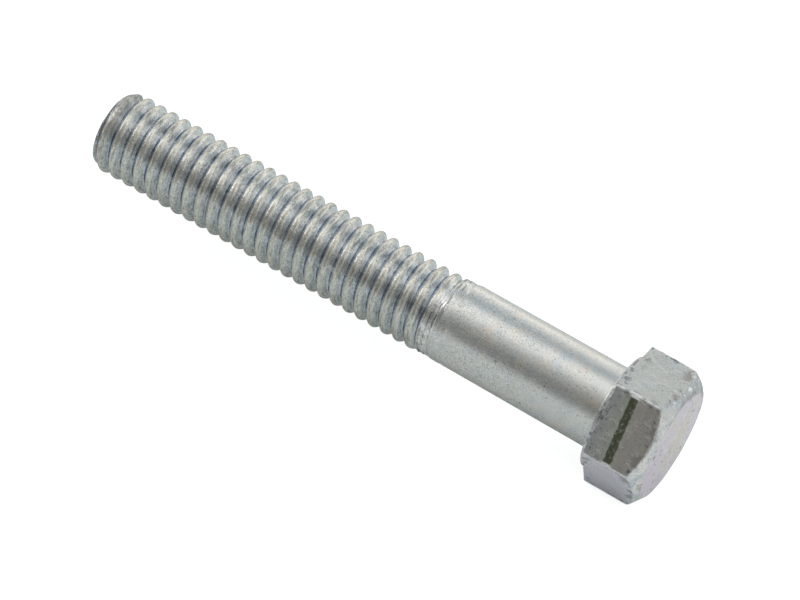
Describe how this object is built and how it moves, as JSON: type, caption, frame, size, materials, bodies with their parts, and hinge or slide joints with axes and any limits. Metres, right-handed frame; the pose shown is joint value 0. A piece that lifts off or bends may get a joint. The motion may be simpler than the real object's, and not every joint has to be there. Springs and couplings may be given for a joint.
{
  "type": "hex bolt",
  "caption": "Partly threaded hex bolt with a washer-faced, chamfered head and a plain shank, zinc plated.",
  "frame": {"origin": "centre of the bearing face, where the underside of the head's washer face meets the work", "axes": "+X along the axis from the tip to the head, -X the way the shank points, +Z out of the head's top flat"},
  "size_m": [0.071, 0.0162, 0.0142],
  "materials": {
    "zinc_plate": "bright zinc plating over forged and rolled steel, with faint tints, streaks and small pits"
  },
  "bodies": {
    "root": {"hex_bolt": "zinc_plate"}
  },
  "joints": []
}
